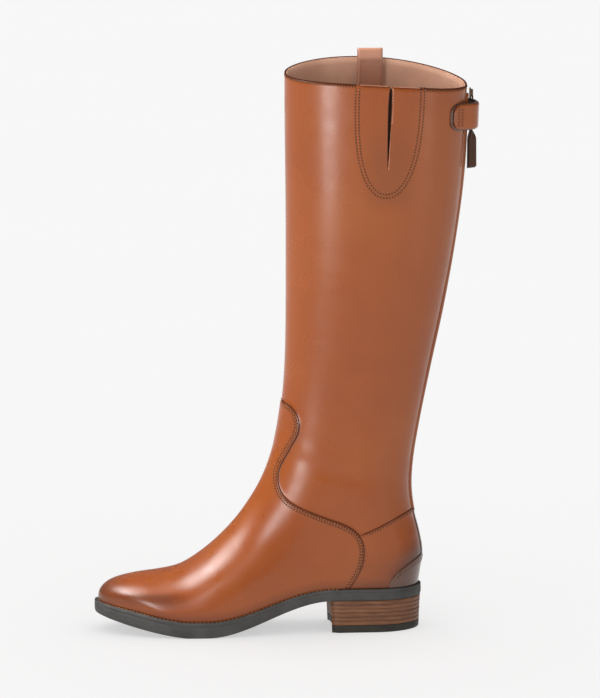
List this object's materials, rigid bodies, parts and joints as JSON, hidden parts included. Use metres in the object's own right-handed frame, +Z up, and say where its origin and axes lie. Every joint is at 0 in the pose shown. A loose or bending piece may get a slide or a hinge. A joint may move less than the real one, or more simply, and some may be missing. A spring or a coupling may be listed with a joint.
{
  "type": "knee-high boot",
  "caption": "Tall riding boot for the left foot: smooth leather upper, low stacked heel, back zip with strap and pull, elastic side slit and a loop inside the collar.",
  "frame": {"origin": "middle of the bounding box, on the floor plane under the sole", "axes": "+Z up the shaft, toe towards -X, heel towards +X, outer side of the left foot towards -Y"},
  "size_m": [0.3198, 0.0922, 0.4832],
  "materials": {
    "upper_leather": "smooth waxed tan leather with a soft shine, darker at toe and heel",
    "dark_leather": "dark brown burnished leather",
    "sole_rubber": "matt dark grey rubber",
    "stacked_leather": "layered brown stacked leather",
    "lining": "matt beige-brown lining",
    "zip_tape": "dark brown woven tape with fine teeth",
    "zip_metal": "aged dark brass",
    "elastic": "dark ribbed elastic"
  },
  "bodies": {
    "root": {"outsole": "sole_rubber", "heel_stack": "stacked_leather", "heel_lift": "sole_rubber", "upper": "upper_leather", "insole": "lining", "heel_counter": "dark_leather", "zip": "zip_tape", "zip_slider": "zip_metal", "zip_pull": "dark_leather", "back_strap": "upper_leather", "gore": "elastic", "pull_loop": "upper_leather"}
  },
  "joints": []
}
